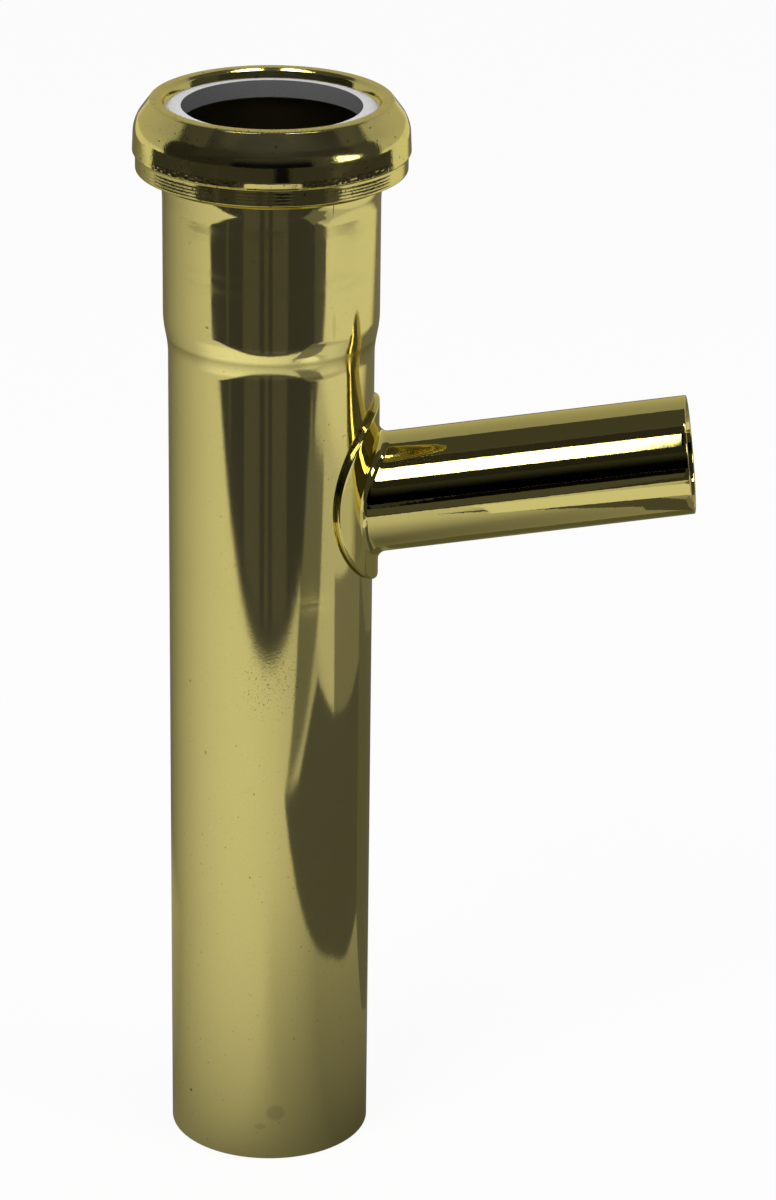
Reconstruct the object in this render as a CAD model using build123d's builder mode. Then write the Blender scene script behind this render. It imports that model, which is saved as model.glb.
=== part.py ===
from build123d import *
from math import cos, pi, radians, sin, tan
import os

# Slip-joint wye: a straight waste tube with a slip-joint inlet on top and a hose branch on its side.
# The frame stands on the tube's lower end: +Z runs up the tube's axis, +X points to the branch.
# All sizes are in millimetres and degrees.

# Waste tube, one length of thin brass, belled at the top to take a tube of its own size
tube_outer_d = 38.1
tube_wall = 0.81
tube_length = 202.05
bell_depth = 34.85
bell_taper_length = 5.8
bell_slip_gap = 0.09
mouth_step = 0.35
mouth_taper_length = 1.8
mouth_land = 1.05

# Hose branch, with a saddle flange drawn out of its root and brazed on the tube
branch_outer_d = 22.225
branch_wall = 1.15
branch_length = 59.65
branch_rise = 7.3
branch_axis_z = 128.2
root_r = 2.0
saddle_land = 6.3
saddle_offset = 1.35
saddle_thickness = 1.0
port_gap = 2.0
braze_gap = 0.05

# Ferrule brazed round the bell's mouth, plain at the mean radius of its thread
ferrule_wall = 2.6
ferrule_length = 9.4

# Slip washer between the ferrule's end and the nut's top
washer_bore_d = 32.86
washer_thickness = 2.9
washer_crown = 0.52
washer_side_gap = 0.4
washer_lip_gap = 0.15

# Slip nut, turned all over, its thread plain at the mean radius too
nut_height = 12.93
nut_top_thickness = 1.83
nut_hole_gap = 0.5
nut_top_land = 2.45
nut_corner_drop = 4.18
nut_rim_step = 0.43
nut_rim_slope = 0.4
nut_rim_edge = 0.3
nut_skirt_wall = 1.67
nut_skirt_height = 3.1
thread_clearance = 0.2

# Radii of the tube and of what is brazed on it
tube_r = tube_outer_d / 2
bell_r = tube_r + bell_slip_gap + tube_wall
mouth_r = bell_r + mouth_step
branch_r = branch_outer_d / 2
branch_bore_r = branch_r - branch_wall
saddle_seat_r = tube_r + braze_gap
saddle_r = branch_r + saddle_land
ferrule_bore_r = mouth_r + braze_gap
ferrule_r = ferrule_bore_r + ferrule_wall

# The port in the tube is wider than the branch, and the saddle covers it
port_r = branch_r + port_gap

# Radii of the nut and the washer in it
nut_bore_r = ferrule_r + thread_clearance
nut_skirt_r = nut_bore_r + nut_skirt_wall
nut_rim_r = nut_skirt_r + nut_rim_step
nut_hole_r = tube_r + nut_hole_gap
nut_crown_r = nut_hole_r + nut_top_land
washer_bore_r = washer_bore_d / 2
washer_r = nut_bore_r - washer_side_gap
washer_lip_r = nut_hole_r - washer_lip_gap

# Heights, from the tube's lower end up
bell_foot_z = tube_length - bell_depth
taper_foot_z = bell_foot_z - bell_taper_length
ferrule_foot_z = tube_length - ferrule_length
mouth_top_z = ferrule_foot_z - mouth_land
mouth_foot_z = mouth_top_z - mouth_taper_length
washer_top_z = tube_length + washer_thickness
nut_top_z = washer_top_z + nut_top_thickness
nut_foot_z = nut_top_z - nut_height
nut_skirt_top_z = nut_foot_z + nut_skirt_height
saddle_centre_z = branch_axis_z + tube_r * tan(radians(branch_rise)) + saddle_offset

# The branch is drawn on a plane square to its axis, where that axis crosses the tube's
branch_direction = (cos(radians(branch_rise)), 0, sin(radians(branch_rise)))
branch_top = (-sin(radians(branch_rise)), 0, cos(radians(branch_rise)))
branch_plane = Plane(origin=(0, 0, branch_axis_z), x_dir=branch_top, z_dir=branch_direction)
branch_end = tube_r / cos(radians(branch_rise)) + branch_length


# Half section of the tube as a rod, drawn once for its outside and once, a wall further in, for its inside
def tube_section(inset):
    with BuildSketch(Plane.XZ) as section:
        with BuildLine():
            Polyline(
                (0, 0),
                (tube_r - inset, 0),
                (tube_r - inset, taper_foot_z),
                (bell_r - inset, bell_foot_z),
                (bell_r - inset, mouth_foot_z),
                (mouth_r - inset, mouth_top_z),
                (mouth_r - inset, tube_length),
                (0, tube_length),
                close=True,
            )
        make_face()
    return section.sketch


with BuildPart() as tailpiece_tube:
    revolve(tube_section(0), axis=Axis.Z)
    revolve(tube_section(tube_wall), axis=Axis.Z, mode=Mode.SUBTRACT)
    with BuildSketch(branch_plane):
        Circle(port_r)
    extrude(amount=tube_outer_d, mode=Mode.SUBTRACT)

# A plug of the tube's outside, cut to the outline of a flat disc that has been wrapped on it
outline_points = 24
outline_turns = [2 * pi * step / outline_points for step in range(outline_points)]
with BuildPart() as saddle_form:
    with BuildSketch(Plane.YZ):
        with BuildLine():
            Spline(
                *[
                    (
                        saddle_seat_r * sin(saddle_r * cos(turn) / saddle_seat_r),
                        saddle_centre_z + saddle_r * sin(turn),
                    )
                    for turn in outline_turns
                ],
                periodic=True,
            )
        make_face()
    extrude(amount=tube_outer_d)
    with BuildSketch(Plane.XY):
        Circle(saddle_seat_r)
    extrude(amount=tube_length, mode=Mode.INTERSECT)
saddle_sheet = saddle_form.faces().filter_by(GeomType.CYLINDER).sort_by(Axis.X)[-1]

# A collar on the tube and the branch are joined, rounded at the root, trimmed to the wrapped disc and bored
collar_plane = Plane(origin=(0, 0, saddle_centre_z - saddle_r - root_r), x_dir=(-1, 0, 0), z_dir=(0, 0, 1))
collar_length = 2 * (saddle_r + root_r)
with BuildPart() as collar_trim:
    with BuildSketch(collar_plane):
        Circle(saddle_seat_r + 2 * saddle_thickness)
    extrude(amount=collar_length)
    thicken(saddle_sheet, amount=3 * saddle_thickness, both=True, mode=Mode.SUBTRACT)
with BuildPart() as branch_tube:
    with BuildSketch(collar_plane):
        Circle(saddle_seat_r + saddle_thickness)
    extrude(amount=collar_length)
    with BuildSketch(branch_plane):
        Circle(branch_r)
    extrude(amount=branch_end)
    fillet(branch_tube.edges().filter_by(GeomType.BSPLINE), radius=root_r)
    add(collar_trim, mode=Mode.SUBTRACT)
    with BuildSketch(Plane.XY):
        Circle(saddle_seat_r)
    extrude(amount=tube_length, mode=Mode.SUBTRACT)
    with BuildSketch(branch_plane):
        Circle(branch_bore_r)
    extrude(amount=branch_end, mode=Mode.SUBTRACT)

with BuildPart() as threaded_ferrule:
    with BuildSketch(Plane.XY.offset(ferrule_foot_z)):
        Circle(ferrule_r)
        Circle(ferrule_bore_r, mode=Mode.SUBTRACT)
    extrude(amount=ferrule_length)

with BuildPart() as slip_washer:
    with BuildSketch(Plane.XZ):
        with BuildLine():
            Polyline(
                (washer_bore_r, tube_length),
                (washer_r, tube_length),
                (washer_r, washer_top_z),
                (washer_lip_r, washer_top_z),
                (washer_bore_r, washer_top_z + washer_crown),
                close=True,
            )
        make_face()
    revolve(axis=Axis.Z)

with BuildPart() as slip_nut:
    with BuildSketch(Plane.XZ):
        with BuildLine():
            Polyline(
                (nut_bore_r, nut_foot_z),
                (nut_skirt_r, nut_foot_z),
                (nut_skirt_r, nut_skirt_top_z),
                (nut_rim_r, nut_skirt_top_z + nut_rim_slope),
                (nut_rim_r, nut_top_z - nut_corner_drop),
                (nut_crown_r, nut_top_z),
                (nut_hole_r, nut_top_z),
                (nut_hole_r, washer_top_z),
                (nut_bore_r, washer_top_z),
                close=True,
            )
        make_face()
    revolve(axis=Axis.Z)
    nut_circles = slip_nut.edges().filter_by(GeomType.CIRCLE)
    chamfer(nut_circles.sort_by(SortBy.RADIUS)[-2:], length=nut_rim_edge)

pieces = {
    "tailpiece_tube": tailpiece_tube,
    "branch_tube": branch_tube,
    "threaded_ferrule": threaded_ferrule,
    "slip_washer": slip_washer,
    "slip_nut": slip_nut,
}
os.makedirs("parts", exist_ok=True)
for name, piece in pieces.items():
    piece.part.label = name
    export_step(piece.part, f"parts/{name}.step")
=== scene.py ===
from math import atan2, cos, degrees, hypot, pi, radians, sin, sqrt, tan

import bmesh
import bpy
from mathutils import Matrix, Vector, noise


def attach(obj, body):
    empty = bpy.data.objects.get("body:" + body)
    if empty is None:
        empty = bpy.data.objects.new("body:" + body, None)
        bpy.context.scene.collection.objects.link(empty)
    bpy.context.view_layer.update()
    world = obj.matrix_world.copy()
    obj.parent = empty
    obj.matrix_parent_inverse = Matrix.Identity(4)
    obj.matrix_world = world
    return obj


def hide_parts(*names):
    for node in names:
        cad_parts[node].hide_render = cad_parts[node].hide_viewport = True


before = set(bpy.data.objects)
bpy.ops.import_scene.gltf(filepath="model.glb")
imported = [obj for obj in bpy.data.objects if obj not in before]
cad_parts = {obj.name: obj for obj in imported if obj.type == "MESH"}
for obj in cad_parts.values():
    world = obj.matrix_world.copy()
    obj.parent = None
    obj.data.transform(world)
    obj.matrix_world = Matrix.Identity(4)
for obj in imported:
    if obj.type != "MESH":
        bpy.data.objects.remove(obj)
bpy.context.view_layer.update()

# The part is drawn in millimetres, in the frame of the solids: +Z up the waste tube, +X to the branch.
# Bearings are in degrees round the tube from its front, -Y, towards the branch.
MM = 0.001
TUBE_STEPS = 256
NUT_STEPS = 512
PORT_STEPS = 96
BEVEL_STEPS = 6
POINT_WELD = 0.0005
THREAD_WELD = 0.02
SAME_HEIGHT = 0.001
SHARP_ANGLE = radians(40)

# Waste tube; the bell's two bends start a little lower than in the solids, as in the photo
TUBE_R = 19.05
TUBE_WALL = 0.81
TUBE_TOP = 202.05
TAPER_FOOT = 160.1
BELL_R = 19.95
BELL_FOOT = 165.0
BELL_BEND = 1.5
MOUTH_R = 20.3
MOUTH_FOOT = 189.0
MOUTH_TOP = 191.5
MOUTH_BEND = 1.2

# Hose branch and the saddle flange drawn out of its root; END_SKEW is the lean of the cut across its end
BRANCH_R = 11.1125
BRANCH_BORE_R = 9.9625
BRANCH_RISE = radians(7.3)
BRANCH_AXIS_Z = 128.2
BRANCH_END = 78.856
BRANCH_EDGE = 0.22
END_SKEW = 0.105
ROOT_R = 2.0
SADDLE_R = 17.4125
SADDLE_CENTRE_Z = 131.99
SADDLE_LIP = 0.35
SEAT_R = 19.1
SADDLE_TOP_R = 20.1
PORT_R = 13.1125
RING_STEPS = 224

# Screwed inlet: ferrule, washer and slip nut
PITCH = 25.4 / 11.5
THREAD_DEPTH = 1.2
THREAD_LEAD = 1.2
THREAD_FLANK = radians(30)
GROOVE_GAP = 0.05
FERRULE_BORE_R = 20.35
FERRULE_MEAN_R = 22.95
FERRULE_FOOT = 192.65
WASHER_BORE_R = 16.43
WASHER_R = 22.75
WASHER_LIP_R = 19.4
WASHER_TOP = 204.95
WASHER_CROWN = 0.52
NUT_MEAN_R = 23.15
NUT_FOOT = 193.85
NUT_THREAD_TOP = 201.4
NUT_SKIRT_R = 24.82
NUT_SKIRT_TOP = 196.95
NUT_WALL_FOOT_R = 25.35
NUT_WALL_FOOT = 197.25
NUT_WALL_TOP_R = 25.1
NUT_CORNER = 202.6
NUT_CROWN_R = 22.0
NUT_HOLE_R = 19.55
NUT_HOLE_EDGE = 0.55
NUT_HOLE_TAPER = 0.42
NUT_TOP = 206.78

# Turned lines on the nut's skirt, and the rough skin of the casting along the foot of its wall
SKIRT_LINES = (194.55, 195.2, 195.75, 196.4)
LINE_DEPTH = 0.006
LINE_HALF = 0.11
SKIN_HEIGHT = 1.5
SKIN_ROWS = 8
SKIN_DEPTH = 0.075
SKIN_GRAIN = 2.9
BUFFED_HEIGHT = 1.05
BUFFED_DEPTH = 0.34
BUFFED_BEARING = 13
BUFFED_BLEND = 4
SKIN_END_BEARING = 58
SKIN_BLEND = 3


class Wire:
    """One socket of a material, so that shader maths reads as plain arithmetic."""

    def __init__(self, board, socket):
        self.board = board
        self.socket = socket

    def math(self, operation, *values):
        return self.board.node("ShaderNodeMath", {"operation": operation}, dict(enumerate(values)))

    def __add__(self, other):
        return self.math("ADD", self, other)

    def __radd__(self, other):
        return self.math("ADD", other, self)

    def __sub__(self, other):
        return self.math("SUBTRACT", self, other)

    def __rsub__(self, other):
        return self.math("SUBTRACT", other, self)

    def __mul__(self, other):
        return self.math("MULTIPLY", self, other)

    def __rmul__(self, other):
        return self.math("MULTIPLY", other, self)

    def __truediv__(self, other):
        return self.math("DIVIDE", self, other)

    def __rtruediv__(self, other):
        return self.math("DIVIDE", other, self)

    def __pow__(self, other):
        return self.math("POWER", self, other)

    def larger(self, other):
        return self.math("MAXIMUM", self, other)

    def size(self):
        return self.math("ABSOLUTE", self)

    def rise(self, length):
        """0 at nothing and towards 1 over that length."""
        return 1 - self.math("EXPONENT", self * (-1 / length))

    def ramp(self, start, stop):
        """0 up to start, 1 from stop on, and smooth between them; start may be the larger one."""
        low, high, low_value, high_value = (start, stop, 0, 1) if start < stop else (stop, start, 1, 0)
        return self.board.node(
            "ShaderNodeMapRange",
            {"interpolation_type": "SMOOTHSTEP"},
            {"Value": self, "From Min": low, "From Max": high, "To Min": low_value, "To Max": high_value},
        )

    def band(self, start, stop, edge):
        """1 between start and stop, and 0 from an edge's width outside them."""
        return self.ramp(start - edge, start) * self.ramp(stop + edge, stop)


class Board:
    """The node tree of one material or of the world."""

    def __init__(self, tree):
        self.tree = tree
        tree.nodes.clear()

    def node(self, kind, settings, sockets, output=0):
        made = self.tree.nodes.new(kind)
        for name, value in settings.items():
            setattr(made, name, value)
        for name, value in sockets.items():
            if isinstance(value, Wire):
                self.tree.links.new(value.socket, made.inputs[name])
            else:
                made.inputs[name].default_value = value
        return Wire(self, made.outputs[output]) if made.outputs else None

    def place(self):
        """Object coordinates in metres, which are the frame's own."""
        return self.node("ShaderNodeTexCoord", {}, {}, "Object")

    def parts(self, vector):
        return [self.node("ShaderNodeSeparateXYZ", {}, {0: vector}, axis) for axis in ("X", "Y", "Z")]

    def noise(self, vector, scale, detail=2.0, roughness=0.5, stretch=(1, 1, 1)):
        laid = self.node("ShaderNodeMapping", {}, {"Vector": vector, "Scale": stretch})
        sockets = {"Vector": laid, "Scale": scale, "Detail": detail, "Roughness": roughness}
        return self.node("ShaderNodeTexNoise", {}, sockets)

    def colour(self, factor, first, second):
        return self.node("ShaderNodeMix", {"data_type": "RGBA"}, {0: factor, 6: first, 7: second}, 2)

    def grey(self, level):
        return self.node("ShaderNodeCombineColor", {}, {0: level, 1: level, 2: level})

    def bump(self, height, strength, distance):
        sockets = {"Strength": strength, "Distance": distance, "Height": height}
        return self.node("ShaderNodeBump", {}, sockets)

    def surface(self, shader):
        self.node("ShaderNodeOutputMaterial", {}, {"Surface": shader})


def new_finish(name):
    material = bpy.data.materials.new(name)
    material.use_nodes = True
    return material, Board(material.node_tree)


# Colours, in linear light
BRASS = (0.715, 0.62, 0.205, 1)
TARNISH = (0.36, 0.30, 0.105, 1)
# Painted highlight: the brighter brass on the front of the taper
TAPER_HIGHLIGHT = (1.0, 0.88, 0.31, 1)
BROWN = (0.20, 0.165, 0.065, 1)
SOOT = (0.05, 0.043, 0.022, 1)
# Painted shade: the near black of the tube's inside
BORE_SHADE = (0.022, 0.017, 0.007, 1)
EDGE_BRASS = (0.93, 0.87, 0.55, 1)
PALE_PLASTIC = (0.73, 0.73, 0.75, 1)
# Painted shade: the grey of the washer's bore
BORE_SHADE_GREY = (0.15, 0.15, 0.155, 1)
DARK_GRAIN = (0.10, 0.10, 0.105, 1)
WHITE = (1, 1, 1, 1)


def polished(board, tone, rough, bump, haze=0.0):
    """A metal that keeps its colour at glancing angles, as brass does, under a thin haze of handling."""
    sockets = {
        "Base Color": tone,
        "Metallic": 1.0,
        "Roughness": rough,
        "Specular Tint": EDGE_BRASS,
        "Coat Weight": haze,
        "Coat Roughness": 0.45,
        "Coat IOR": 1.6,
        "Normal": bump,
    }
    board.surface(board.node("ShaderNodeBsdfPrincipled", {}, sockets))


def round_place(board, place):
    """Distance from the tube's axis, bearing and height of a place, in metres and degrees."""
    x, y, z = board.parts(place)
    across = (x * x + y * y) ** 0.5
    bearing = x.math("ARCTAN2", x, -1 * y) * (180 / pi)
    return across, bearing, z


def spot(bearing, z, at, height, half_width, half_height):
    """A soft round mark on the tube, at a bearing and height, with half sizes in millimetres."""
    sideways = (bearing - at) * (radians(1) * TUBE_R / half_width)
    upwards = (z / MM - height) / half_height
    return (sideways * sideways + upwards * upwards).ramp(1.0, 0.3)


# Marks of handling on the tube: bearing, height, half width, half height and how far they darken the brass
TUBE_MARKS = (
    (3, 10, 2.2, 2.0, 0.22),
    (-6, 7, 1.4, 0.8, 0.18),
    (-53.4, 11, 0.45, 0.4, 0.75),
    (32.5, 191.2, 0.16, 2.1, 0.55),
    (29.5, 189.5, 0.9, 1.5, 0.16),
    (-36, 168.5, 0.4, 0.3, 0.6),
    (34, 168.8, 0.5, 3.0, 0.14),
    (-12, 60, 0.3, 0.3, 0.4),
    (-40, 84, 0.3, 0.5, 0.4),
)


def tube_finish():
    """Drawn tube, buffed along its length: a bright mirror with a little haze, smears and black specks; a
    painted highlight brightens the front of its taper, and painted shade darkens its inside.
    """
    material, board = new_finish("buffed_tube")
    place = board.place()
    across, bearing, z = round_place(board, place)
    cloud = board.noise(place, 40, 3)
    streak = board.noise(place, 900, 2, 0.6, (1, 1, 0.02))
    grain = board.noise(place, 2600, 2, 0.7)
    smear = z.band(0.1855, 0.1875, 0.0012).larger(z.band(0.1755, 0.178, 0.002))
    smear = smear * board.noise(place, 150, 2, 0.5, (1, 1, 4)).ramp(0.4, 0.65)
    rough = 0.045 + 0.05 * cloud * streak + 0.02 * grain + 0.06 * smear
    tone = board.colour((cloud - 0.5).larger(0) * 0.25, BRASS, TARNISH)
    # Painted highlight: the front of the taper is coloured a brighter brass.
    painted_taper_highlight = z.band(TAPER_FOOT * MM, BELL_FOOT * MM, 0.0008)
    tone = board.colour(painted_taper_highlight * bearing.band(-32, 32, 15) * 0.9, tone, TAPER_HIGHLIGHT)
    specks = board.noise(place, 1100, 2, 0.6).ramp(0.7, 0.76) * 0.5
    tip = z.band(0.097, 0.102, 0.006) * bearing.band(-10, 10, 10)
    specks = specks.larger(tip * board.noise(place, 2300, 2, 0.6).ramp(0.6, 0.68) * 0.6)
    for at, height, half_width, half_height, depth in TUBE_MARKS:
        specks = specks.larger(depth * spot(bearing, z, at, height, half_width, half_height))
    tone = board.colour(specks, tone, SOOT)
    tone = board.colour((grain - 0.5).larger(0) * 0.5, tone, TARNISH)
    # Painted shade: the inside of the tube is coloured near black and made rough, as it lies in shade.
    bell_bore = across.ramp(0.0196, 0.0194) * z.ramp(0.1596, 0.1656)
    bore = bell_bore.larger(across.ramp(0.0187, 0.0185))
    tone = board.colour(bore, tone, BORE_SHADE)
    rough = rough + bore * 0.4
    height = (streak - 0.5) * 0.6 + (grain - 0.5) * 0.4
    polished(board, tone, rough, board.bump(height, 0.02, 0.0004), haze=0.5 * (1 - bore))
    return material


def branch_finish():
    """Spun and mirror polished, with only a trace of grain and faint dents from the polishing wheel."""
    material, board = new_finish("mirror_branch")
    place = board.place()
    cloud = board.noise(place, 60, 3)
    grain = board.noise(place, 2200, 2, 0.7)
    dents = board.noise(place, 420, 2, 0.6)
    rough = 0.03 + 0.03 * cloud * grain
    tone = board.colour((cloud - 0.5).larger(0) * 0.2, BRASS, TARNISH)
    tone = board.colour((grain - 0.5).larger(0) * 0.3, tone, TARNISH)
    polished(board, tone, rough, board.bump(dents, 0.02, 0.0006))
    return material


def nut_finish():
    """Turned casting: satin top, cloudy polished slope with pits, brown skin and streaks near its foot."""
    material, board = new_finish("turned_nut")
    place = board.place()
    across, bearing, z = round_place(board, place)
    cloud = board.noise(place, 130, 3, 0.6)
    patches = cloud.ramp(0.42, 0.68)
    grain = board.noise(place, 2400, 2, 0.7)
    pits = board.noise(place, 1300, 1, 0.5).ramp(0.7, 0.75)
    top = z.ramp(0.20655, 0.20672) * across.ramp(0.01995, 0.02015)
    wall = z.ramp(0.1973, 0.1976) * across.ramp(0.0221, 0.0223)
    rough = 0.06 + 0.06 * patches * wall + 0.2 * top + 0.03 * grain
    tone = board.colour((cloud - 0.45).larger(0) * 0.4, BRASS, TARNISH)
    beside = bearing.size()
    skin = z.band(0.1972, 0.1984, 0.0004) * beside.band(BUFFED_BEARING, SKIN_END_BEARING, 2)
    tone = board.colour(skin * grain.ramp(0.35, 0.6) * 0.75, tone, BROWN)
    rings = board.noise(place, 1500, 2, 0.6, (0.02, 0.02, 1)).ramp(0.45, 0.65)
    skirt = z.ramp(0.1971, 0.1968) * across.ramp(0.0244, 0.0246)
    stained = beside.band(27, 52, 3) * board.noise(place, 220, 2).ramp(0.4, 0.6)
    tone = board.colour(skirt * (0.1 + 0.6 * stained) * rings * 0.6, tone, BROWN)
    tone = board.colour(pits * 0.8, tone, SOOT)
    tone = board.colour((grain - 0.5).larger(0) * 0.5, tone, TARNISH)
    bump = board.bump(grain + 1.5 * skin * board.noise(place, 1500, 2), 0.06, 0.0002)
    polished(board, tone, rough, bump, haze=0.12)
    return material


def thread_finish():
    """As cut by the die: even, a little dull, darker in the roots."""
    material, board = new_finish("cut_thread")
    place = board.place()
    across = round_place(board, place)[0]
    grain = board.noise(place, 1800, 2, 0.6)
    root = across.ramp(0.0234, 0.0224)
    tone = board.colour(root * 0.55, BRASS, TARNISH)
    polished(board, tone, 0.16 + 0.12 * grain, board.bump(grain, 0.04, 0.0002))
    return material


def washer_finish():
    """Matt moulded washer, pale all over: its bore is painted grey as shade, and it is grainier there."""
    material, board = new_finish("moulded_washer")
    place = board.place()
    across = round_place(board, place)[0]
    grain = board.noise(place, 3800, 2, 0.7)
    bore = across.ramp(0.01652, 0.01646)
    # Painted shade: the bore is coloured grey for the shade it lies in, and given more dark grain.
    tone = board.colour(bore, PALE_PLASTIC, BORE_SHADE_GREY)
    tone = board.colour(grain.ramp(0.4, 0.75) * (0.2 + 0.3 * bore), tone, DARK_GRAIN)
    sockets = {
        "Base Color": tone,
        "Roughness": 0.55 + 0.2 * grain,
        "Specular IOR Level": 0.3,
        "Normal": board.bump(grain, 0.2, 0.0002),
    }
    board.surface(board.node("ShaderNodeBsdfPrincipled", {}, sockets))
    return material


def finish_piece(bm, name, body, slot, material, *nodes):
    """Ends a bmesh drawn in millimetres as a smooth piece of the part that stands for CAD nodes."""
    bmesh.ops.scale(bm, vec=(MM, MM, MM), verts=bm.verts)
    for face in bm.faces:
        face.smooth = True
    mesh = bpy.data.meshes.new(name)
    bm.to_mesh(mesh)
    bm.free()
    mesh.set_sharp_from_angle(angle=SHARP_ANGLE)
    mesh.materials.append(material)
    piece = bpy.data.objects.new(name, mesh)
    bpy.context.scene.collection.objects.link(piece)
    even = piece.modifiers.new("even_normals", "WEIGHTED_NORMAL")
    even.keep_sharp = True
    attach(piece, body)
    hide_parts(*nodes)
    return piece


def outline_loop(bm, corners, closed):
    """Draws corners of (radius, height, rounding) as an outline beside the axis, and rounds them."""
    points = [bm.verts.new((radius, 0, height)) for radius, height, rounding in corners]
    followers = points[1:] + points[:1] if closed else points[1:]
    for here, there in zip(points, followers):
        bm.edges.new((here, there))
    for size in sorted({rounding for radius, height, rounding in corners if rounding}):
        chosen = [point for point, corner in zip(points, corners) if corner[2] == size]
        bmesh.ops.bevel(
            bm,
            geom=chosen,
            offset=size,
            offset_type="OFFSET",
            affect="VERTICES",
            segments=BEVEL_STEPS,
            profile=0.5,
            material=-1,
        )


def turn(bm, steps, climb=0.0):
    """Spins what is drawn once round the tube's axis, and closes the seam, more widely where it climbs."""
    bmesh.ops.spin(
        bm,
        geom=bm.verts[:] + bm.edges[:],
        cent=(0, 0, 0),
        axis=(0, 0, 1),
        dvec=(0, 0, climb / steps),
        angle=2 * pi,
        steps=steps,
        use_merge=climb == 0,
        use_duplicate=False,
    )
    bmesh.ops.remove_doubles(bm, verts=bm.verts, dist=THREAD_WELD if climb else POINT_WELD)


def turned_ring(corners):
    bm = bmesh.new()
    outline_loop(bm, corners, True)
    turn(bm, TUBE_STEPS)
    bmesh.ops.recalc_face_normals(bm, faces=bm.faces)
    return bm


def rim_at(bm, height):
    """The open edges of a bmesh that lie at one height."""
    return [
        edge
        for edge in bm.edges
        if edge.is_boundary and all(abs(vert.co.z - height) < SAME_HEIGHT for vert in edge.verts)
    ]


def set_radius(vert, radius):
    """Moves a vertex straight out or in to a radius round the tube's axis."""
    scale = radius / hypot(vert.co.x, vert.co.y)
    vert.co.x *= scale
    vert.co.y *= scale


def thread_wall(bm, steps, mean_r, foot, top):
    """A right-hand thread: teeth turned once round while they climb one pitch, then cut off square."""
    flank = THREAD_DEPTH * tan(THREAD_FLANK)
    flat = (PITCH - 2 * flank) / 2
    inner = mean_r - THREAD_DEPTH / 2
    outer = mean_r + THREAD_DEPTH / 2
    first = int(foot / PITCH) - 1
    teeth = int((top - foot) / PITCH) + 4
    corners = []
    for tooth in range(first, first + teeth):
        base = tooth * PITCH
        corners += [
            (inner, base, 0),
            (inner, base + flat, 0),
            (outer, base + flat + flank, 0),
            (outer, base + 2 * flat + flank, 0),
        ]
    outline_loop(bm, corners, False)
    turn(bm, steps, PITCH)
    for height, side in ((foot, -1), (top, 1)):
        bmesh.ops.bisect_plane(
            bm,
            geom=bm.verts[:] + bm.edges[:] + bm.faces[:],
            dist=0.0001,
            plane_co=(0, 0, height),
            plane_no=(0, 0, side),
            clear_outer=True,
        )


def step_in(bm, height, radius):
    """Extrudes the open rim at a height level to a circle, and gives the new rim."""
    made = bmesh.ops.extrude_edge_only(bm, edges=rim_at(bm, height))["geom"]
    for item in made:
        if isinstance(item, bmesh.types.BMVert):
            set_radius(item, radius)
    return [item for item in made if isinstance(item, bmesh.types.BMEdge)]


def cut_port(piece):
    """Cuts the port that leads into the branch, all of it under the saddle."""
    cutter = bmesh.new()
    sizes = {"radius1": PORT_R, "radius2": PORT_R, "depth": 2 * TUBE_R}
    bmesh.ops.create_cone(cutter, cap_ends=True, segments=PORT_STEPS, **sizes)
    along_branch = Matrix.Rotation(pi / 2 - BRANCH_RISE, 4, "Y")
    bmesh.ops.transform(cutter, matrix=along_branch, verts=cutter.verts)
    bmesh.ops.translate(cutter, vec=ALONG * TUBE_R + Vector((0, 0, BRANCH_AXIS_Z)), verts=cutter.verts)
    bmesh.ops.scale(cutter, vec=(MM, MM, MM), verts=cutter.verts)
    mesh = bpy.data.meshes.new("port_cutter")
    cutter.to_mesh(mesh)
    cutter.free()
    tool = bpy.data.objects.new("port_cutter", mesh)
    bpy.context.scene.collection.objects.link(tool)
    port = piece.modifiers.new("port", "BOOLEAN")
    port.operation = "DIFFERENCE"
    port.object = tool
    bpy.context.view_layer.update()
    cut = bpy.data.meshes.new_from_object(piece.evaluated_get(bpy.context.evaluated_depsgraph_get()))
    piece.modifiers.remove(port)
    piece.data = cut
    bpy.data.objects.remove(tool)


def waste_tube(material):
    inside = TUBE_WALL
    bm = turned_ring(
        [
            (TUBE_R - inside, 0, 0.12),
            (TUBE_R, 0, 0.18),
            (TUBE_R, TAPER_FOOT, BELL_BEND),
            (BELL_R, BELL_FOOT, BELL_BEND),
            (BELL_R, MOUTH_FOOT, MOUTH_BEND),
            (MOUTH_R, MOUTH_TOP, MOUTH_BEND),
            (MOUTH_R, TUBE_TOP, 0.12),
            (MOUTH_R - inside, TUBE_TOP, 0.12),
            (MOUTH_R - inside, MOUTH_TOP, MOUTH_BEND),
            (BELL_R - inside, MOUTH_FOOT, MOUTH_BEND),
            (BELL_R - inside, BELL_FOOT, BELL_BEND),
            (TUBE_R - inside, TAPER_FOOT, BELL_BEND),
        ]
    )
    piece = finish_piece(bm, "waste_tube", "wye", "tube_brass", material, "tailpiece_tube")
    cut_port(piece)


# Directions of the branch: along its axis, and square to it upwards and sideways
ALONG = Vector((cos(BRANCH_RISE), 0, sin(BRANCH_RISE)))
ACROSS = Vector((-sin(BRANCH_RISE), 0, cos(BRANCH_RISE)))
SIDE = Vector((0, 1, 0))


def on_branch(angle, radius, distance):
    spoke = SIDE * cos(angle) + ACROSS * sin(angle)
    return Vector((0, 0, BRANCH_AXIS_Z)) + ALONG * distance + spoke * radius


def reach_to_tube(angle, radius, tube_radius):
    """How far along the branch a line of it at that radius meets a cylinder round the tube's axis."""
    sideways = radius * cos(angle)
    lean = radius * sin(angle) * ACROSS.x
    return (sqrt(tube_radius**2 - sideways**2) - lean) / ALONG.x


def on_tube(heading, height, radius):
    return Vector((radius * cos(heading), radius * sin(heading), height))


def heading_and_height(point):
    return atan2(point.y, point.x), point.z


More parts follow.
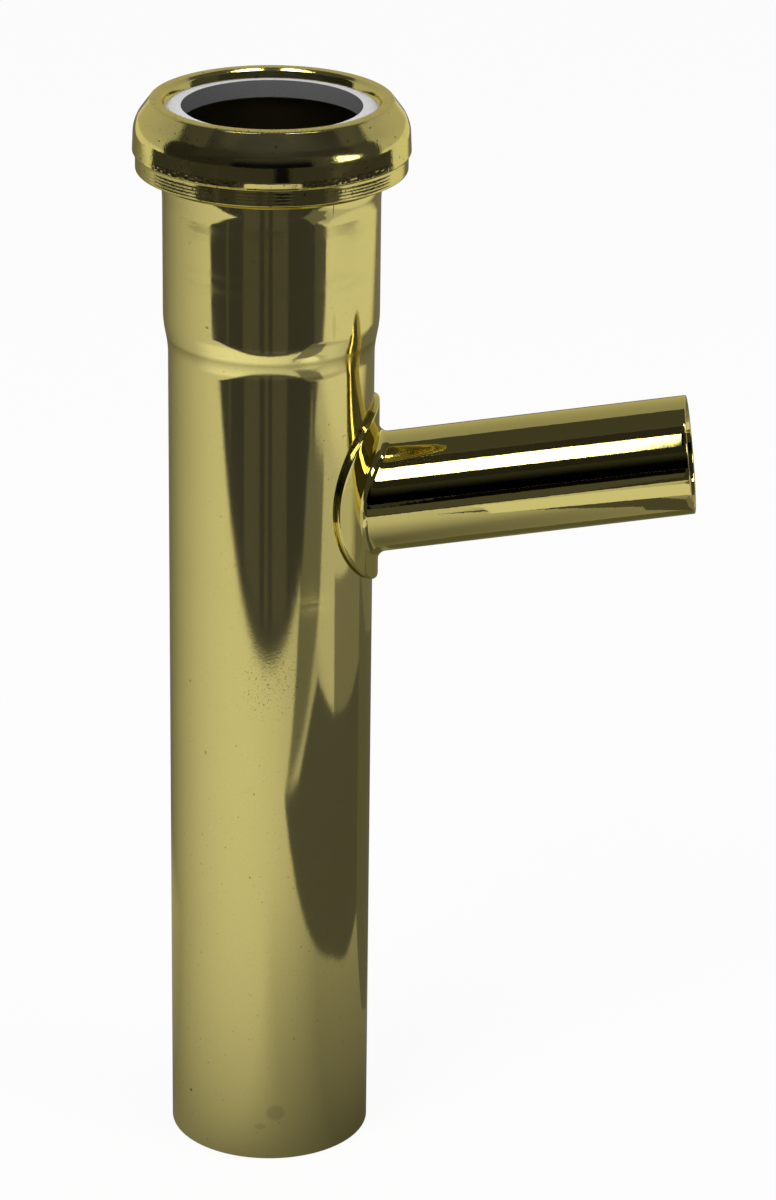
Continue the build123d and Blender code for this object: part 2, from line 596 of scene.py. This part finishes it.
def saddle_outline(angle, inset=0.0):
    """Heading and height of the saddle's outline, drawn in by an inset: a flat disc wrapped on the tube."""
    reach = SADDLE_R - inset
    return reach * cos(angle) / SEAT_R, SADDLE_CENTRE_Z + reach * sin(angle)


def across_saddle(share, radius, start, stop):
    """A point of the saddle between two headings and heights, at a radius from the tube's axis."""
    heading = start[0] + (stop[0] - start[0]) * share
    height = start[1] + (stop[1] - start[1]) * share
    return on_tube(heading, height, radius)


def root_bend(angle, share):
    """A point on the rounding of the root, from the branch (0) to the saddle (1)."""
    reach = reach_to_tube(angle, BRANCH_R + ROOT_R, SADDLE_TOP_R + ROOT_R)
    middle = on_branch(angle, BRANCH_R + ROOT_R, reach)
    to_branch = on_branch(angle, BRANCH_R, reach) - middle
    inward = SADDLE_TOP_R / (SADDLE_TOP_R + ROOT_R)
    to_saddle = Vector((middle.x * inward, middle.y * inward, middle.z)) - middle
    return middle + to_branch.normalized().slerp(to_saddle.normalized(), share) * ROOT_R


def bore_mouth(angle):
    return on_branch(angle, BRANCH_BORE_R, reach_to_tube(angle, BRANCH_BORE_R, SEAT_R))


def end_at(angle, radius):
    """How far out the end is cut, which is a little askew and longest at the back."""
    return BRANCH_END + END_SKEW * radius * cos(angle)


def outer_edge(angle, share):
    """The rounding of the branch's rim on its outside, from the end face (0) to the wall (1)."""
    bend = pi / 2 * share
    radius = BRANCH_R - BRANCH_EDGE + BRANCH_EDGE * sin(bend)
    return on_branch(angle, radius, end_at(angle, radius) - BRANCH_EDGE + BRANCH_EDGE * cos(bend))


def outer_wall(angle, share):
    return outer_edge(angle, 1).lerp(root_bend(angle, 0), share)


def saddle_face(angle, share):
    start = heading_and_height(root_bend(angle, 1))
    return across_saddle(share, SADDLE_TOP_R, start, saddle_outline(angle, SADDLE_LIP))


def saddle_lip(angle, share):
    """The rounding of the saddle's edge, from its face (0) to the edge itself (1)."""
    bend = pi / 2 * share
    inset = SADDLE_LIP - SADDLE_LIP * sin(bend)
    return on_tube(*saddle_outline(angle, inset), SADDLE_TOP_R - SADDLE_LIP + SADDLE_LIP * cos(bend))


def saddle_edge(angle, share):
    top = SADDLE_TOP_R - SADDLE_LIP
    return on_tube(*saddle_outline(angle), top + (SEAT_R - top) * share)


def saddle_seat(angle, share):
    stop = heading_and_height(bore_mouth(angle))
    return across_saddle(share, SEAT_R, saddle_outline(angle), stop)


def bore_wall(angle, share):
    stop = on_branch(angle, BRANCH_BORE_R, end_at(angle, BRANCH_BORE_R) - BRANCH_EDGE)
    return bore_mouth(angle).lerp(stop, share)


def inner_edge(angle, share):
    """The rounding of the branch's rim on its inside, from the bore (0) to the end face (1)."""
    bend = pi / 2 * share
    radius = BRANCH_BORE_R + BRANCH_EDGE - BRANCH_EDGE * cos(bend)
    return on_branch(angle, radius, end_at(angle, radius) - BRANCH_EDGE + BRANCH_EDGE * sin(bend))


# The stretches of the branch's section, from its rim over the saddle and back through the bore, and where
# each has its rings
BRANCH_STRETCHES = (
    (outer_edge, (0, 0.25, 0.5, 0.75, 1)),
    (outer_wall, (0.015, 0.25, 0.5, 0.75, 0.94, 0.985)),
    (root_bend, [step / 16 for step in range(17)]),
    (saddle_face, (0.03, 0.2, 0.4, 0.6, 0.8, 0.92)),
    (saddle_lip, (0, 0.25, 0.5, 0.75, 1)),
    (saddle_edge, (0.85, 1)),
    (saddle_seat, (0.1, 0.5, 0.9, 1)),
    (bore_wall, (0.02, 0.3, 0.6, 0.9, 0.985, 1)),
    (inner_edge, (0.25, 0.5, 0.75, 1)),
)


def hose_branch(material):
    """One ring of points, extruded from ring to ring round the whole wall of the branch and its saddle."""
    bm = bmesh.new()
    bmesh.ops.create_circle(bm, cap_ends=False, segments=RING_STEPS, radius=BRANCH_R)
    angles = [atan2(vert.co.y, vert.co.x) for vert in bm.verts]
    ring = bm.verts[:]
    edges = first_edges = bm.edges[:]
    started = False
    for stretch, shares in BRANCH_STRETCHES:
        for share in shares:
            if started:
                made = bmesh.ops.extrude_edge_only(bm, edges=edges)["geom"]
                edges = [item for item in made if isinstance(item, bmesh.types.BMEdge)]
                fresh = {item for item in made if isinstance(item, bmesh.types.BMVert)}
                ring = [
                    next(edge.other_vert(vert) for edge in vert.link_edges if edge.other_vert(vert) in fresh)
                    for vert in ring
                ]
            started = True
            for vert, angle in zip(ring, angles):
                vert.co = stretch(angle, share)
    bmesh.ops.bridge_loops(bm, edges=first_edges + [edge for edge in edges if edge.is_boundary])
    bmesh.ops.recalc_face_normals(bm, faces=bm.faces)
    finish_piece(bm, "hose_branch", "wye", "branch_brass", material, "branch_tube")


def ferrule(material):
    """A threaded ring, its teeth drawn in towards both ends as a turned chamfer does."""
    bm = bmesh.new()
    thread_wall(bm, TUBE_STEPS, FERRULE_MEAN_R, FERRULE_FOOT, TUBE_TOP)
    rims = [step_in(bm, height, FERRULE_BORE_R) for height in (FERRULE_FOOT, TUBE_TOP)]
    bmesh.ops.bridge_loops(bm, edges=rims[0] + rims[1])
    root = FERRULE_MEAN_R - THREAD_DEPTH / 2
    for vert in bm.verts:
        from_end = min(vert.co.z - FERRULE_FOOT, TUBE_TOP - vert.co.z)
        allowed = root + max(from_end, 0) * THREAD_LEAD
        if hypot(vert.co.x, vert.co.y) > allowed:
            set_radius(vert, allowed)
    bmesh.ops.recalc_face_normals(bm, faces=bm.faces)
    finish_piece(bm, "ferrule", "wye", "thread_brass", material, "threaded_ferrule")


def washer(material):
    bm = turned_ring(
        [
            (WASHER_BORE_R, TUBE_TOP, 0.2),
            (WASHER_R, TUBE_TOP, 0.3),
            (WASHER_R, WASHER_TOP, 0.3),
            (WASHER_LIP_R, WASHER_TOP, 0.1),
            (WASHER_BORE_R, WASHER_TOP + WASHER_CROWN, 0.14),
        ]
    )
    finish_piece(bm, "washer", "washer", "washer_plastic", material, "slip_washer")


def nut_outline():
    """The nut's section from the mouth of its thread up the outside, over the top and down its hole."""
    groove_r = NUT_MEAN_R + THREAD_DEPTH / 2 + GROOVE_GAP
    corners = [(groove_r, NUT_FOOT, 0), (NUT_SKIRT_R, NUT_FOOT, 0.18)]
    for height in SKIRT_LINES:
        corners += [
            (NUT_SKIRT_R, height - LINE_HALF, 0),
            (NUT_SKIRT_R - LINE_DEPTH, height, 0),
            (NUT_SKIRT_R, height + LINE_HALF, 0),
        ]
    corners += [(NUT_SKIRT_R, NUT_SKIRT_TOP, 0.1), (NUT_WALL_FOOT_R, NUT_WALL_FOOT, 0.15)]
    lean = (NUT_WALL_TOP_R - NUT_WALL_FOOT_R) / (NUT_CORNER - NUT_WALL_FOOT)
    for row in range(1, SKIN_ROWS + 1):
        above = SKIN_HEIGHT * row / SKIN_ROWS
        corners.append((NUT_WALL_FOOT_R + lean * above, NUT_WALL_FOOT + above, 0))
    corners += [
        (NUT_WALL_TOP_R, NUT_CORNER, 1.7),
        (NUT_CROWN_R, NUT_TOP, 0.4),
        (NUT_HOLE_R + NUT_HOLE_EDGE, NUT_TOP, 0.12),
        (NUT_HOLE_R, NUT_TOP - NUT_HOLE_EDGE, 0.2),
        (NUT_HOLE_R - NUT_HOLE_TAPER, WASHER_TOP + 0.12, 0.05),
        (NUT_MEAN_R, WASHER_TOP, 0.1),
        (NUT_MEAN_R, NUT_THREAD_TOP + 1.2, 0.1),
        (groove_r, NUT_THREAD_TOP + 0.8, 0.1),
        (groove_r, NUT_THREAD_TOP, 0),
    ]
    return corners


def smooth_share(value, start, stop):
    share = min(max((value - start) / (stop - start), 0), 1)
    return share * share * (3 - 2 * share)


def cast_skin(bm):
    """Buffs the foot of the nut's wall away in front, and leaves the casting's rough skin beside it."""
    for vert in bm.verts:
        radius = hypot(vert.co.x, vert.co.y)
        above = vert.co.z - NUT_WALL_FOOT
        if radius < NUT_SKIRT_R + 0.2 or above > SKIN_HEIGHT:
            continue
        bearing = abs(degrees(atan2(vert.co.x, -vert.co.y)))
        buffed = smooth_share(bearing, BUFFED_BEARING + BUFFED_BLEND, BUFFED_BEARING - BUFFED_BLEND)
        left = smooth_share(bearing, BUFFED_BEARING, BUFFED_BEARING + SKIN_BLEND)
        left *= smooth_share(bearing, SKIN_END_BEARING + SKIN_BLEND, SKIN_END_BEARING)
        left *= smooth_share(above, SKIN_HEIGHT, SKIN_HEIGHT / 2)
        cut = BUFFED_DEPTH * buffed * min(max(1 - above / BUFFED_HEIGHT, 0), 1)
        bead = SKIN_DEPTH * left * noise.noise(vert.co * SKIN_GRAIN)
        set_radius(vert, radius - cut + bead)


def slip_nut(material):
    """The nut's outside is turned from one outline, and its thread is joined to it at both ends."""
    bm = bmesh.new()
    outline_loop(bm, nut_outline(), False)
    turn(bm, NUT_STEPS)
    cast_skin(bm)
    thread = bmesh.new()
    thread_wall(thread, NUT_STEPS, NUT_MEAN_R, NUT_FOOT, NUT_THREAD_TOP)
    crest = NUT_MEAN_R + THREAD_DEPTH / 2
    for vert in thread.verts:
        needed = crest - (vert.co.z - NUT_FOOT) * THREAD_LEAD
        if hypot(vert.co.x, vert.co.y) < needed:
            set_radius(vert, needed)
    thread_mesh = bpy.data.meshes.new("nut_thread")
    thread.to_mesh(thread_mesh)
    thread.free()
    bm.from_mesh(thread_mesh)
    bpy.data.meshes.remove(thread_mesh)
    for height in (NUT_FOOT, NUT_THREAD_TOP):
        bmesh.ops.bridge_loops(bm, edges=rim_at(bm, height))
    bmesh.ops.recalc_face_normals(bm, faces=bm.faces)
    finish_piece(bm, "round_nut", "nut", "nut_brass", material, "slip_nut")


def stage_piece(bm, name, material):
    mesh = bpy.data.meshes.new(name)
    bm.to_mesh(mesh)
    bm.free()
    mesh.materials.append(material)
    stand = bpy.data.objects.new(name, mesh)
    bpy.context.scene.collection.objects.link(stand)
    return stand


def mirrored_only(bm, name, material):
    """A stage piece that shows in the polished brass and nowhere else."""
    stand = stage_piece(bm, name, material)
    stand.visible_camera = False
    stand.visible_diffuse = False
    stand.visible_transmission = False
    stand.visible_volume_scatter = False
    stand.visible_shadow = False


def glow(name, level, fade=None):
    """An even glow, or one that a function of x, y and z fades."""
    material, board = new_finish(name)
    colour = board.grey(fade(*board.parts(board.place()))) if fade else WHITE
    board.surface(board.node("ShaderNodeEmission", {}, {"Color": colour, "Strength": level}))
    return material


def flat_card(name, outline, height, material):
    bm = bmesh.new()
    bm.faces.new([bm.verts.new((x, y, height)) for x, y in outline])
    mirrored_only(bm, name, material)


def standing_card(name, foot, material):
    """A card that stands over a line of the floor, from (x, y, lower edge, upper edge) to the next."""
    bm = bmesh.new()
    low = [bm.verts.new((x, y, lower)) for x, y, lower, upper in foot]
    high = [bm.verts.new((x, y, upper)) for x, y, lower, upper in foot]
    for row in (low, high):
        for here, there in zip(row, row[1:]):
            bm.edges.new((here, there))
    bmesh.ops.bridge_loops(bm, edges=bm.edges[:])
    mirrored_only(bm, name, material)


def white_floor():
    """White table with the part's soft shadow; in the brass it shows painted light and shade, which fade it
    towards the part and behind it.
    """
    material, board = new_finish("white_floor")
    x, y = board.parts(board.place())[:2]
    seen = board.node("ShaderNodeLightPath", {}, {}, "Is Camera Ray")
    mirrored = board.node("ShaderNodeLightPath", {}, {}, "Is Glossy Ray")
    away = ((x * x + y * y) ** 0.5).larger(0.001)
    # Painted light and shade that the brass sees in the table: brighter to the front and left, a painted
    # shadow to the right of the part, darker close to it, and black under the tube.
    lit = (0.38 - (0.225 * x + 0.34 * y) / away).larger(0.18 + 0.24 * away.ramp(0.15, 0.1))
    lit = lit.larger(0.56 * x.ramp(0.15, 0.23) * y.ramp(0.1, 0.0)).larger(0.8 * x.ramp(0.3, 0.42))
    lit = lit.larger(0.8 * x.ramp(-0.52, -0.64))
    shaded = 0.3 * x.ramp(-0.02, 0.012) * away.ramp(0.16, 0.05)
    painted_mirror_light = lit * away.rise(0.05) * (1 - shaded) * away.ramp(0.0165, 0.0195)
    tone = board.grey(1 - mirrored * (1 - painted_mirror_light))
    white = board.node("ShaderNodeEmission", {}, {"Color": tone, "Strength": 1.0})
    paper = board.node("ShaderNodeBsdfDiffuse", {}, {"Color": (0.9, 0.9, 0.9, 1)})
    share = (0.92 * seen).larger(mirrored)
    board.surface(board.node("ShaderNodeMixShader", {}, {0: share, 1: paper, 2: white}))
    bm = bmesh.new()
    bmesh.ops.create_grid(bm, x_segments=1, y_segments=1, size=6)
    bmesh.ops.translate(bm, vec=(0, 0, -0.0002), verts=bm.verts)
    stage_piece(bm, "floor", material)


# The dark room in front of the table, in metres
ROOM_SIDE = 1.3
ROOM_FRONT = -2.0
ROOM_TOP = 1.15
WALL_BACK = 0.2
CEILING_BACK = 0.6


def dark_room():
    """Dark walls and a dim ceiling, which only the polished brass sees."""
    left = [(-ROOM_SIDE, ROOM_FRONT, 0.001, ROOM_TOP), (-ROOM_SIDE, WALL_BACK, 0.001, ROOM_TOP)]
    right = [(ROOM_SIDE, y, low, high) for x, y, low, high in left]
    front = [(-ROOM_SIDE, ROOM_FRONT, 0.001, ROOM_TOP), (ROOM_SIDE, ROOM_FRONT, 0.001, ROOM_TOP)]
    standing_card("left_wall", left, glow("left_dark", 0.02))
    standing_card("right_wall", right, glow("right_dim", 0.055))
    standing_card("front_wall", front, glow("front_dark", 0.035, lambda x, y, z: z.ramp(0.45, ROOM_TOP)))
    ceiling = [
        (-ROOM_SIDE, ROOM_FRONT),
        (ROOM_SIDE, ROOM_FRONT),
        (ROOM_SIDE, CEILING_BACK),
        (-ROOM_SIDE, CEILING_BACK),
    ]

    def ceiling_fade(x, y, z):
        return 0.32 + 0.68 * y.ramp(-0.6, -0.42) + 0.35 * x.ramp(0, 0.9)

    flat_card("dim_ceiling", ceiling, ROOM_TOP, glow("ceiling_dim", 0.066, ceiling_fade))


# The dark floor beyond the table's front edge, and the lighter lines on it: bearings from and to, in degrees
TABLE_EDGE = [
    (0.6, -0.34),
    (0.51, -0.315),
    (0.41, -0.285),
    (0.3, -0.32),
    (0.17, -0.266),
    (0, -0.262),
    (-0.2, -0.254),
    (-0.38, -0.24),
    (-0.46, -0.21),
    (-0.6, -0.245),
]
SHADE_END = -0.62
SHADE_SIDE = 0.6
FLOOR_LINES = ((-48, -45.5), (-30, -13), (-7.5, -3.5), (0.6, 16.5), (45, 58))
LINE_START = 0.285


def on_floor(bearing, y):
    return y * -tan(radians(bearing)), y


def front_floor():
    shade = [(-SHADE_SIDE, SHADE_END), (SHADE_SIDE, SHADE_END)] + TABLE_EDGE
    flat_card("front_shade", shade, 0.0006, glow("shade_dark", 0.041))
    line_tone = glow("line_dim", 0.08)
    for number, (start, stop) in enumerate(FLOOR_LINES):
        outline = [on_floor(start, -LINE_START), on_floor(stop, -LINE_START)]
        outline += [on_floor(stop, SHADE_END), on_floor(start, SHADE_END)]
        flat_card(f"front_line_{number + 1}", outline, 0.0007, line_tone)
    far = [(-ROOM_SIDE, ROOM_FRONT), (ROOM_SIDE, ROOM_FRONT), (ROOM_SIDE, 0.55), (0.62, 0.3)]
    far += [(SHADE_SIDE, SHADE_END), (-SHADE_SIDE, SHADE_END), (-0.62, 0.3), (-ROOM_SIDE, 0.55)]
    flat_card("far_shade", far, 0.0005, glow("far_dark", 0.04))
    black = [(0.05, -1.9), (0.42, -1.9), (0.17, -0.64), (0.03, -0.64)]
    flat_card("far_black", black, 0.0009, glow("black", 0.002))


def side_boards():
    """What stands to the right of the part: a low dark board with a lighter edge, and a painted shadow of
    the board on a strip of floor.
    """
    # Painted shadow: a dim card on the floor where the board's shadow falls.
    strip = [(0.05, -0.18), (0.09, -0.205), (0.17, -0.266), (0.3, -0.32), (0.345, -0.2), (0.25, -0.172)]
    flat_card("right_strip_shadow", strip, 0.0008, glow("strip_shadow", 0.16))
    board = [
        (0.046, -0.178, 0.001, 0.002),
        (0.066, -0.114, 0.001, 0.029),
        (0.080, -0.067, 0.001, 0.063),
        (0.0906, -0.033, 0.001, 0.057),
        (0.092, 0.0, 0.001, 0.059),
        (0.1, 0.04, 0.001, 0.06),
    ]
    standing_card("right_board", board, glow("board_dark", 0.085))
    band = [(x, y, upper, upper + 0.03) for x, y, lower, upper in board[3:]]
    standing_card("board_edge", band, glow("board_edge", 0.2))
    back = [
        (0.1, 0.04, 0.001, 0.085),
        (0.05, 0.03, 0.001, 0.085),
        (0.035, 0.04, 0.001, 0.085),
        (0.035, 0.1, 0.001, 0.085),
    ]
    standing_card("right_back", back, glow("back_dim", 0.12))


# The white card in front of the branch and below it lies along the way that the tube's own mirrored rays
# take, and so hardly shows in the tube; its sizes are in metres
CARD_HEIGHT = 0.115
CARD_FALL = 0.4093
CARD_SIZE = (0.08, 0.085, 1)
CARD_MIDDLE = (0.085, -0.0805, 0)


def under_card():
    bm = bmesh.new()
    bmesh.ops.create_grid(bm, x_segments=14, y_segments=16, size=0.5)
    bmesh.ops.scale(bm, vec=CARD_SIZE, verts=bm.verts)
    bmesh.ops.translate(bm, vec=CARD_MIDDLE, verts=bm.verts)
    for vert in bm.verts:
        start = TUBE_R * MM * cos(atan2(vert.co.x, -vert.co.y) / 2)
        vert.co.z = CARD_HEIGHT - CARD_FALL * (hypot(vert.co.x, vert.co.y) - start)
    mirrored_only(bm, "under_card", glow("under_white", 0.82))


def soft_boxes():
    """Lights that show as white strips: over the branch, to its right, and two in the ceiling."""
    strip = [(-0.06, -0.3, 0.38, 0.72), (0.1, -0.3, 0.38, 0.72)]
    standing_card("strip_light", strip, glow("strip_white", 5, lambda x, y, z: x.ramp(0.066, 0.04)))
    flag = [(-0.08, -0.045, 0.2155, 0.34), (0.1, -0.045, 0.2155, 0.34)]
    standing_card("strip_flag", flag, glow("flag_dim", 0.028))
    side = [(0.15, -0.12, 0.205, 0.255), (0.4, -0.12, 0.205, 0.255)]
    standing_card("side_light", side, glow("side_white", 4))
    for name, hand in (("left_panel", -1), ("right_panel", 1)):
        panel = [(0.12 * hand, -0.46), (0.48 * hand, -0.46), (0.48 * hand, -0.14), (0.12 * hand, -0.14)]
        flat_card(name, panel, ROOM_TOP - 0.01, glow(name, 7))


def lamps():
    for name, place, size, power in (
        ("key_light", (-0.8, -0.9, 1.3), 1.0, 14),
        ("fill_light", (0.9, -0.4, 1.2), 1.0, 7),
    ):
        lamp = bpy.data.lights.new(name, "AREA")
        lamp.size = size
        lamp.energy = power
        stand = bpy.data.objects.new(name, lamp)
        stand.location = place
        stand.rotation_euler = (Vector((0, 0, 0.1)) - Vector(place)).to_track_quat("-Z", "Y").to_euler()
        stand.visible_glossy = False
        bpy.context.scene.collection.objects.link(stand)


def white_room():
    """White to the camera, and a pale grey room behind the table to the brass."""
    world = bpy.data.worlds.new("white_room")
    world.use_nodes = True
    board = Board(world.node_tree)
    seen = board.node("ShaderNodeLightPath", {}, {}, "Is Camera Ray")
    through = board.node("ShaderNodeLightPath", {}, {}, "Is Transmission Ray")
    upwards = board.parts(board.node("ShaderNodeTexCoord", {}, {}, "Generated"))[2]
    dim = 0.54 - 0.2 * upwards.ramp(0, 1)
    strength = dim + (1 - dim) * seen.larger(through)
    sky = board.node("ShaderNodeBackground", {}, {"Color": WHITE, "Strength": strength})
    board.node("ShaderNodeOutputWorld", {}, {"Surface": sky})
    bpy.context.scene.world = world


def photo_camera():
    lens = bpy.data.cameras.new("photo_camera")
    lens.sensor_width = 36
    lens.lens = 139.58
    lens.clip_start = 0.01
    stand = bpy.data.objects.new("photo_camera", lens)
    right = Vector((0.99946789, -0.03038802, 0.01185335))
    up = Vector((0.00052, 0.37819767, 0.92572472))
    back = -Vector((0.03261385, 0.92522597, -0.37801223))
    turned = Matrix((right, up, back)).transposed().to_4x4()
    stand.matrix_world = Matrix.Translation((-0.006509, -0.811305, 0.440369)) @ turned
    bpy.context.scene.collection.objects.link(stand)
    bpy.context.scene.camera = stand


waste_tube(tube_finish())
hose_branch(branch_finish())
ferrule(thread_finish())
washer(washer_finish())
slip_nut(nut_finish())
white_floor()
dark_room()
front_floor()
side_boards()
under_card()
soft_boxes()
lamps()
white_room()
photo_camera()
bpy.context.scene.view_settings.view_transform = "Standard"
